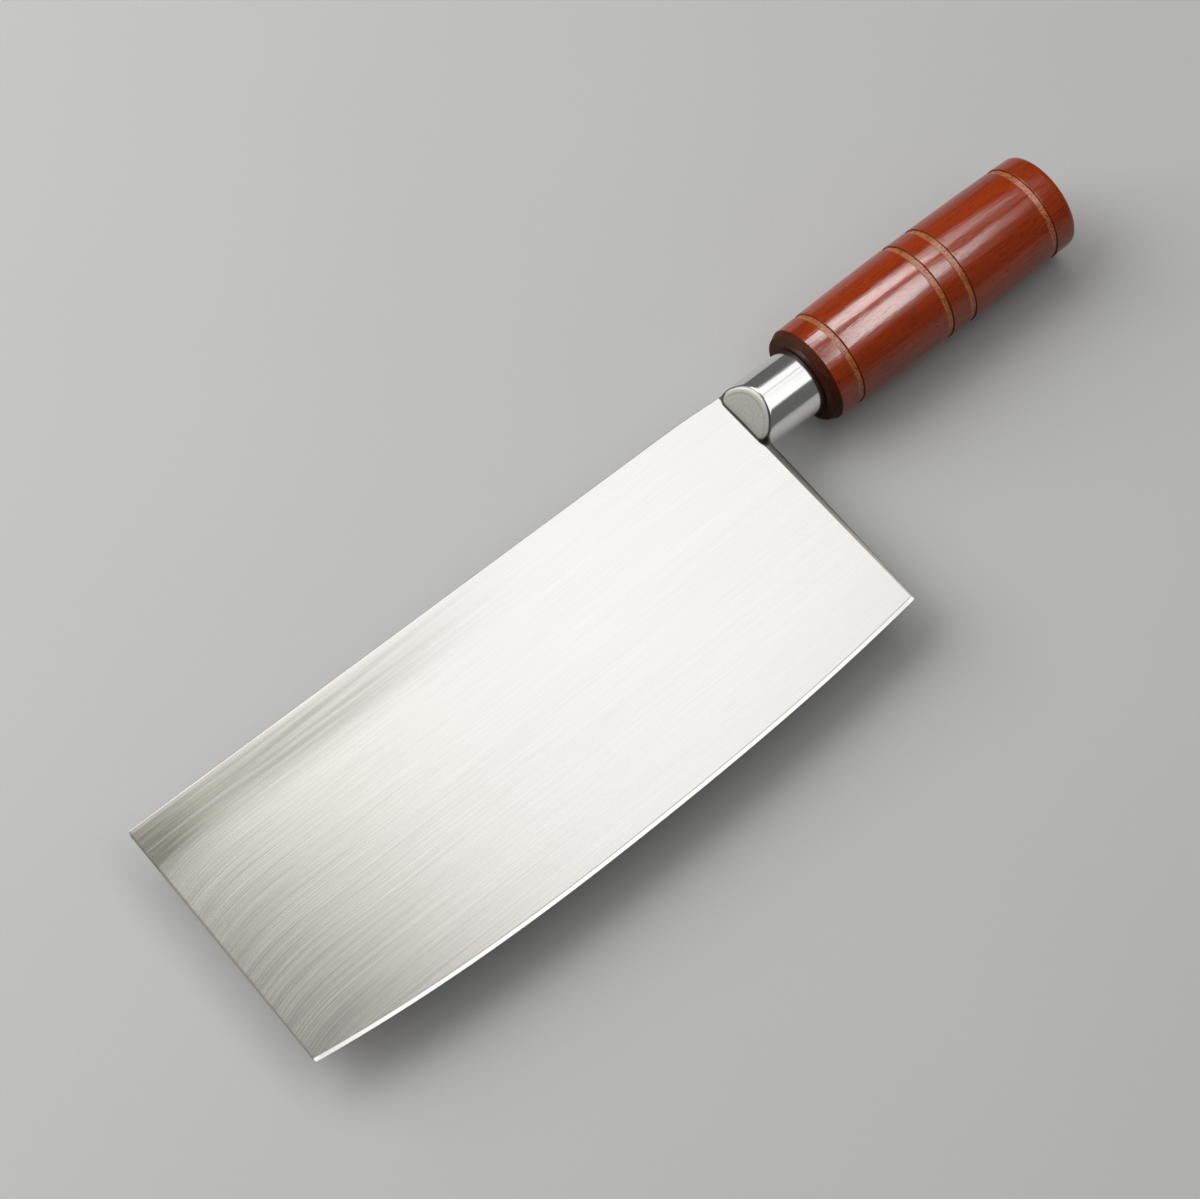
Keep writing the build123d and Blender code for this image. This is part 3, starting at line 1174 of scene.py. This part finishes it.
class Lathe:
    """Turns a profile round the handle's axis with Geometry Nodes."""

    guard = 0.12
    arc_steps = 5
    weld = 0.002

    def __init__(self) -> None:
        """Build the node group once; every turned piece uses it."""
        self.group = bpy.data.node_groups.new("lathe", "GeometryNodeTree")
        self.inputs: dict[str, str] = {}
        self._interface()
        self._nodes()

    def _interface(self) -> None:
        """Give the group its named inputs and its output."""
        kinds = {"Profile": "Geometry", "Segments": "Int", "Weld": "Float"}
        kinds |= {f"Zone {zone}": "Material" for zone in Zone}
        for name, kind in kinds.items():
            made = self.group.interface.new_socket(name, in_out="INPUT", socket_type="NodeSocket" + kind)
            self.inputs[name] = made.identifier
        self.group.interface.new_socket("Turned", in_out="OUTPUT", socket_type="NodeSocketGeometry")

    def _nodes(self) -> None:
        """Write the tree: a grid whose rows follow the profile and whose columns go round the axis."""
        graph = Graph(self.group)
        profile = graph.add("NodeGroupInput", None, "Profile")
        segments = profile.out("Segments")
        count = graph.add("GeometryNodeAttributeDomainSize", {0: profile}, "Point Count")
        grid = graph.add("GeometryNodeMeshGrid", {"Vertices X": segments + 1, "Vertices Y": count}, "Mesh")
        index = graph.add("GeometryNodeInputIndex")
        position = graph.add("GeometryNodeInputPosition")
        row = graph.math("FLOORED_MODULO", index, count)
        here = self._sample(graph, profile, position, row, "FLOAT_VECTOR")
        split = graph.add("ShaderNodeSeparateXYZ", {0: here})
        angle = graph.math("FLOOR", (index + 0.5) / count) / segments * math.tau
        sides = (split.out("Y") * graph.math(kind, angle) for kind in ("COSINE", "SINE"))
        inputs = {"Geometry": grid, "Position": graph.point(split, *sides)}
        turned = graph.add("GeometryNodeSetPosition", inputs)
        zone = graph.add("GeometryNodeInputNamedAttribute", {"Name": "zone"}, data_type="INT")
        zones = self._sample(graph, profile, zone, graph.math("FLOORED_MODULO", index, count - 1), "INT")
        inputs = {"Geometry": turned, "Name": "zone", "Value": zones}
        marked = graph.add("GeometryNodeStoreNamedAttribute", inputs, data_type="INT", domain="FACE")
        inputs = {"Geometry": marked, "Distance": profile.out("Weld")}
        welded = graph.add("GeometryNodeMergeByDistance", inputs)
        smooth = graph.add("GeometryNodeSetShadeSmooth", {"Geometry": welded})
        shape = graph.add("GeometryNodeRealizeInstances", {"Geometry": smooth})
        for number in Zone:
            inputs = {2: zone, 3: int(number)}
            here = graph.add("FunctionNodeCompare", inputs, data_type="INT", operation="EQUAL")
            inputs = {"Geometry": shape, "Selection": here, "Material": profile.out(f"Zone {number}")}
            shape = graph.add("GeometryNodeSetMaterial", inputs)
        graph.add("NodeGroupOutput", {0: shape})

    @staticmethod
    def _sample(graph: Graph, source: Value, value: Value, index: Value, kind: str) -> Value:
        """Read a value of the profile at one of its points."""
        inputs = {"Geometry": source, "Value": value, "Index": index}
        return graph.add("GeometryNodeSampleIndex", inputs, data_type=kind)

    def profile(self, turns: list[Turn]) -> tuple[np.ndarray, list[int]]:
        """Round the corners of a profile and guard each rounding with a point on both sides.

        Args:
            turns: Corners in order; the outer side runs towards the butt.

        Returns:
            Points of the profile and the zone that follows each.
        """
        points: list[np.ndarray] = []
        zones: list[int] = []
        half = (self.arc_steps + 1) // 2
        for i, turn in enumerate(turns):
            here = np.array((turn.x, turn.r))
            if not turn.rounding:
                points.append(here)
                zones.append(turn.zone)
                continue
            back, ahead = turn.towards(turns[i - 1]), turn.towards(turns[i + 1])
            cut = turn.rounding * math.tan((math.pi - math.acos(back @ ahead)) / 2)
            arc = bezier(here + back * cut, here, here + ahead * cut, count=self.arc_steps + 1)
            points += [arc[0] + back * self.guard, *arc, arc[-1] + ahead * self.guard]
            zones += [turns[i - 1].zone] * (1 + half) + [turn.zone] * (self.arc_steps + 2 - half)
        return np.array(points), zones

    def turn(
        self, name: str, turns: list[Turn], finishes: list[Enum], axes: Axes, segments: int
    ) -> bpy.types.Object:
        """Turn a piece.

        Args:
            name: The piece's name.
            turns: Corners of its profile.
            finishes: A finish for each zone, or one for all.
            axes: The knife's own axes.
            segments: How many facets go round it.

        Returns:
            The finished piece, a plain mesh.
        """
        points, zones = self.profile(turns)
        mesh = bpy.data.meshes.new(name + "_profile")
        edges = [(i, i + 1) for i in range(len(points) - 1)]
        mesh.from_pydata((np.column_stack([points, np.zeros(len(points))]) * MM).tolist(), edges, [])
        holder = link(name + "_profile", mesh)
        store(holder, "zone", zones, "INT")
        modifier = holder.modifiers.new("lathe", "NODES")
        modifier.node_group = self.group
        modifier[self.inputs["Segments"]] = segments
        modifier[self.inputs["Weld"]] = self.weld * MM
        materials = [finish.value.material(axes) for finish in finishes]
        for zone in Zone:
            modifier[self.inputs[f"Zone {zone}"]] = materials[zone % len(materials)]
        evaluated = holder.evaluated_get(bpy.context.evaluated_depsgraph_get())
        turned = bpy.data.meshes.new_from_object(evaluated)
        bpy.data.objects.remove(holder)
        turned.name = name
        turned.transform(Matrix.Translation(axes.place((0, 0, 0))))
        turned.update()
        return link(name, turned)


@dataclass
class Handle:
    """The turned wooden handle with its chamfered front, four grooves, bore and washer's seat."""

    axes: Axes
    lathe: Lathe
    length: float = 98.0
    belly_radius: float = 16.75
    front_radius: float = 15.8
    butt_radius: float = 16.1
    chamfer_length: float = 2.5
    chamfer_depth: float = 1.2
    chamfer_rounding: float = 0.35
    butt_rounding: float = 2.0
    face_rounding: float = 0.3
    inner_rounding: float = 0.1
    groove_width: float = 2.3
    groove_depth: float = 0.45
    groove_rounding: float = 0.14
    # Width of the strips of painted shade along the edges of each groove's floor.
    groove_shade_strip: float = 0.26
    front_inset: float = 10.0
    butt_inset: float = 9.2
    pair_spacing: float = 9.2
    pair_share: float = 0.513
    bore_radius: float = 5.0
    seat_radius: float = 7.4
    seat_depth: float = 3.1
    body_step: float = 2.5
    body_gap: float = 0.6
    segments: int = 288

    def barrel(self, x: float) -> float:
        """Work out the radius of the barrelled body.

        Args:
            x: Place along the handle.

        Returns:
            The radius there.
        """
        middle = self.length * self.pair_share
        end, radius = self.length, self.butt_radius
        if x < middle:
            end, radius = self.chamfer_length, self.front_radius
        drop = self.belly_radius - radius
        arc = ((middle - end) ** 2 + drop**2) / (2 * drop)
        return self.belly_radius - arc + math.sqrt(arc**2 - (x - middle) ** 2)

    def grooves(self) -> tuple[float, ...]:
        """Place the grooves: one near each end and a pair in the middle.

        Returns:
            X of the middle of each.
        """
        pair = self.length * self.pair_share
        half = self.pair_spacing / 2
        return (self.front_inset, pair - half, pair + half, self.length - self.butt_inset)

    def turns(self) -> list[Turn]:
        """Draw the whole profile, from the bore at the front round to the bore again.

        Returns:
            Its corners.
        """
        face = self.front_radius - self.chamfer_depth
        turns = [
            Turn(0, self.bore_radius, 0, Zone.END),
            Turn(0, face, self.face_rounding, Zone.END),
            Turn(self.chamfer_length, self.front_radius, self.chamfer_rounding),
        ]
        here = self.chamfer_length
        for groove in self.grooves():
            start, end = groove - self.groove_width / 2, groove + self.groove_width / 2
            floor = self.barrel(groove) - self.groove_depth
            turns += self._body(here, start)
            turns += [
                Turn(start, self.barrel(start), self.groove_rounding, Zone.SHADE),
                Turn(start, floor, self.inner_rounding, Zone.SHADE),
                Turn(start + self.groove_shade_strip, floor, 0, Zone.GROOVE),
                Turn(end - self.groove_shade_strip, floor, 0, Zone.SHADE),
                Turn(end, floor, self.inner_rounding),
                Turn(end, self.barrel(end), self.groove_rounding),
            ]
            here = end
        seat = self.length - self.seat_depth
        return [
            *turns,
            *self._body(here, self.length),
            Turn(self.length, self.butt_radius, self.butt_rounding),
            Turn(self.length, self.seat_radius, self.face_rounding, Zone.BORE),
            Turn(seat, self.seat_radius, self.inner_rounding, Zone.BORE),
            Turn(seat, self.bore_radius, self.inner_rounding, Zone.BORE),
            Turn(0, self.bore_radius, 0, Zone.BORE),
        ]

    def _body(self, start: float, end: float) -> list[Turn]:
        """Put plain points along the barrelled body between two features.

        Args:
            start: X of the feature before them.
            end: X of the feature after them.

        Returns:
            The points.
        """
        count = max(2, round((end - start) / self.body_step))
        places = np.linspace(start, end, count + 1).tolist()
        return [Turn(x, self.barrel(x)) for x in places if min(end - x, x - start) > self.body_gap]

    def build(self) -> bpy.types.Object:
        """Turn the handle."""
        return self.lathe.turn("handle_visual", self.turns(), list(Timber), self.axes, self.segments)


@dataclass
class Fixing:
    """What holds the handle: the tang rod with its peened head and the washer under it."""

    axes: Axes
    lathe: Lathe
    handle: Handle
    tang_radius: float = 4.0
    seat_depth: float = 8.0
    head_radius: float = 5.6
    head_height: float = 1.2
    rim_height: float = 0.5
    dome_shares: tuple[float, ...] = (0.85, 0.7, 0.5, 0.3, 0.12, 0.0)
    sink: float = 0.3
    washer_radius: float = 7.0
    washer_thickness: float = 1.6
    roundings: tuple[float, ...] = (0.1, 0.15, 0.2, 0.25)
    segments: int = 96

    def head_start(self) -> float:
        """X where the peened head bears on the washer."""
        return self.handle.length - self.sink - self.head_height

    def rod(self) -> bpy.types.Object:
        """Turn the tang rod with its peened head.

        Returns:
            The finished piece.
        """
        start, end = self.head_start(), self.head_start() + self.head_height
        rise = self.head_height - self.rim_height
        dome = (rise**2 + self.head_radius**2) / (2 * rise)
        _, small, medium, large = self.roundings
        turns = [
            Turn(-self.seat_depth, 0),
            Turn(-self.seat_depth, self.tang_radius, medium),
            Turn(start, self.tang_radius),
            Turn(start, self.head_radius, small),
            Turn(start + self.rim_height, self.head_radius, large),
        ]
        for r in (self.head_radius * share for share in self.dome_shares):
            turns.append(Turn(end - dome + math.sqrt(dome**2 - r**2), r))
        return self.lathe.turn("tang_rod_visual", turns, [Plain.TANG], self.axes, self.segments)

    def washer(self) -> bpy.types.Object:
        """Turn the washer.

        Returns:
            The finished piece.
        """
        start, end = self.head_start() - self.washer_thickness, self.head_start()
        middle = (self.tang_radius + self.washer_radius) / 2
        least, small, medium, _ = self.roundings
        turns = [
            Turn(start, middle),
            Turn(start, self.washer_radius, small),
            Turn(end, self.washer_radius, medium),
            Turn(end, self.tang_radius, least),
            Turn(start, self.tang_radius, least),
            Turn(start, middle),
        ]
        return self.lathe.turn("butt_washer_visual", turns, [Plain.WASHER], self.axes, self.segments)


@dataclass(frozen=True)
class Panel:
    """A soft rectangular lamp: its middle, size and radiance, and its turn or what it is aimed at."""

    name: str
    middle: Place
    size: Point
    radiance: float
    turn: float = 0.0
    aim: Place | None = None

    def light(self) -> bpy.types.Object:
        """Hang the lamp in the scene.

        Returns:
            The lamp's object.
        """
        lamp = bpy.data.lights.new(self.name, "AREA")
        lamp.shape = "RECTANGLE"
        lamp.size, lamp.size_y = (side * MM for side in self.size)
        lamp.energy = self.radiance * math.pi * lamp.size * lamp.size_y
        holder = link(self.name, lamp)
        holder.location = Vector(self.middle) * MM
        holder.rotation_euler.z = math.radians(self.turn)
        if self.aim:
            way = Vector(self.aim) - Vector(self.middle)
            holder.rotation_euler = way.to_track_quat("-Z", "Y").to_euler()
        holder.visible_camera = False
        return holder


@dataclass(frozen=True)
class SoftBox:
    """One level soft box of the ceiling: its spans across and along the ceiling's own axes."""

    name: str
    across: Point
    along: Point


@dataclass(frozen=True)
class Ceiling:
    """Level soft boxes, turned together about the vertical, with a narrow gap beside the far one.

    The rearmost box reaches further to the front, over the place that the cutting bevel mirrors.
    """

    edge: Point = (70.0, 457.0)
    height: float = 1200.0
    turn: float = 21.0
    radiance: float = 1.1
    boxes: tuple[SoftBox, ...] = (
        SoftBox("box_far", (0.0, 690.0), (-322.0, 980.0)),
        SoftBox("box_near", (-430.0, 690.0), (-560.0, -352.0)),
        SoftBox("box_rear", (-430.0, 300.0), (-1560.0, -560.0)),
    )

    def panels(self) -> list[Panel]:
        """Make the lamps; the far one's edge passes over the named point of the table.

        Returns:
            A lamp for each box.
        """
        cosine, sine = math.cos(math.radians(self.turn)), math.sin(math.radians(self.turn))
        made = []
        for box in self.boxes:
            across, along = sum(box.across) / 2, sum(box.along) / 2
            x = self.edge[0] + across * cosine - along * sine
            y = self.edge[1] + across * sine + along * cosine
            size = (box.across[1] - box.across[0], box.along[1] - box.along[0])
            made.append(Panel(box.name, (x, y, self.height), size, self.radiance, self.turn))
        return made


@dataclass(frozen=True)
class Strip:
    """One hot strip over the handle: its span across and the stretches along, each with its radiance."""

    name: str
    span: Point
    start: float
    stretches: tuple[Point, ...]
    height: float = 500.0

    def panels(self) -> list[Panel]:
        """Make a lamp for each stretch, which runs from the last one's end to its own.

        Returns:
            The lamps.
        """
        made = []
        first, (low, high) = self.start, self.span
        for i, (end, radiance) in enumerate(self.stretches):
            middle = ((first + end) / 2, (low + high) / 2, self.height)
            made.append(Panel(f"{self.name}_{i}", middle, (end - first, high - low), radiance))
            first = end
        return made


@dataclass
class Studio:
    """Pale table, soft lamps and a plain dim surround."""

    axes: Axes
    table_size: float = 12000.0
    surround: Rgb = (0.13, 0.13, 0.128)
    key: Panel = Panel("key", (-700, 900, 1000), (1400, 1400), 3.1, aim=(0, 0, 0))
    blade_key: Panel = replace(key, name="blade_key", radiance=0.95)
    strips: tuple[Strip, ...] = (
        Strip("strip_far", (180.0, 456.0), 245.0, ((357.0, 12.0), (430.0, 3.6))),
        Strip("strip_near", (-225.0, 65.0), 245.0, ((332.0, 12.0),)),
        Strip("tail_near", (-175.0, -5.0), 332.0, ((383.0, 7.5), (425.0, 2.0))),
    )

    def table(self) -> bpy.types.Object:
        """Lay the table top.

        Returns:
            The table, which is no part of the object.
        """
        half = self.table_size / 2 * MM
        mesh = bpy.data.meshes.new("table")
        corners = [(-half, -half, 0), (half, -half, 0), (half, half, 0), (-half, half, 0)]
        mesh.from_pydata(corners, [], [(0, 1, 2, 3)])
        mesh.materials.append(Plain.TABLE.value.material(self.axes))
        top = link("table", mesh)
        return top

    @staticmethod
    def hang(panels: list[Panel], lit: list[bpy.types.Object]) -> None:
        """Hang lamps that light some objects alone.

        Args:
            panels: The lamps.
            lit: The objects that they light.
        """
        receivers = bpy.data.collections.new("lit_by_" + panels[0].name)
        for each in lit:
            receivers.objects.link(each)
        for panel in panels:
            panel.light().light_linking.receiver_collection = receivers
            log.info("lamp %s, for %s", panel.name, ", ".join(each.name for each in lit))

    def lamps(self, pieces: dict[str, bpy.types.Object], table: bpy.types.Object) -> None:
        """Hang the lamps: the blade mirrors its key, so that one is weaker than the others' key.

        Args:
            pieces: The finished pieces by node.
            table: The table top.
        """
        for panel in Ceiling().panels():
            panel.light()
            log.info("lamp %s", panel.name)
        others = [piece for node, piece in pieces.items() if node != "blade"]
        self.hang([self.key], [*others, table])
        self.hang([self.blade_key], [pieces["blade"]])
        self.hang([panel for strip in self.strips for panel in strip.panels()], [pieces["handle"]])

    def world(self) -> None:
        """Set the plain surround."""
        world = bpy.data.worlds.new("surround")
        world.use_nodes = True
        graph = Graph(world.node_tree)
        glow = graph.add("ShaderNodeBackground", {"Color": (*self.surround, 1.0), "Strength": 1.0})
        graph.add("ShaderNodeOutputWorld", {"Surface": glow})
        bpy.context.scene.world = world

    def build(self, pieces: dict[str, bpy.types.Object]) -> None:
        """Set up the whole studio.

        Args:
            pieces: The finished pieces by node, for the lamps that light some of them alone.
        """
        self.lamps(pieces, self.table())
        self.world()
        bpy.context.scene.view_settings.view_transform = "Standard"


@dataclass(frozen=True)
class PhotoCamera:
    """The camera's place, worked out from the knife's outline in the photograph."""

    target: Place = (-20.9, 15.1, 16.75)
    azimuth: float = -40.33
    elevation: float = 63.33
    distance: float = 1009.1
    lens: float = 104.82
    sensor: float = 36.0
    clip_start: float = 0.01

    def build(self) -> None:
        """Make the camera and look through it."""
        turn, rise = math.radians(self.azimuth), math.radians(self.elevation)
        way = Vector((-math.sin(turn) * math.cos(rise), math.cos(turn) * math.cos(rise), -math.sin(rise)))
        data = bpy.data.cameras.new("camera")
        data.lens = self.lens
        data.sensor_width = self.sensor
        data.clip_start = self.clip_start
        camera = link("camera", data)
        camera.location = (Vector(self.target) - way * self.distance) * MM
        camera.rotation_euler = way.to_track_quat("-Z", "Y").to_euler()
        bpy.context.scene.camera = camera


def settle(piece: bpy.types.Object, node: str) -> None:
    """Let a finished piece stand for a node of the frame and log it.

    Args:
        piece: The finished piece.
        node: The node that it replaces.
    """
    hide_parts(node)
    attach(piece, BODY)
    log.info("%s: %d faces", piece.name, len(piece.data.polygons))


def main() -> None:
    """Build the pieces in order, then the studio and the camera."""
    logging.basicConfig(level=logging.INFO, format="%(name)s: %(message)s")
    axes = Axes.from_frame()
    lathe = Lathe()
    handle = Handle(axes, lathe)
    fixing = Fixing(axes, lathe, handle)
    makers = {
        "blade": (Blade(axes).build, "blade_steel"),
        "collar": (Collar(axes).build, "collar_steel"),
        "handle": (handle.build, "handle_wood"),
        "tang_rod": (fixing.rod, "tang_steel"),
        "butt_washer": (fixing.washer, "washer_steel"),
    }
    pieces = {}
    for node, (make, slot) in makers.items():
        pieces[node] = make()
        settle(pieces[node], node)
    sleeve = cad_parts["bonding_sleeve"]
    sleeve.data.materials.clear()
    sleeve.data.materials.append(Plain.RESIN.value.material(axes))
    Studio(axes).build(pieces)
    PhotoCamera().build()


if __name__ == "__main__":
    main()
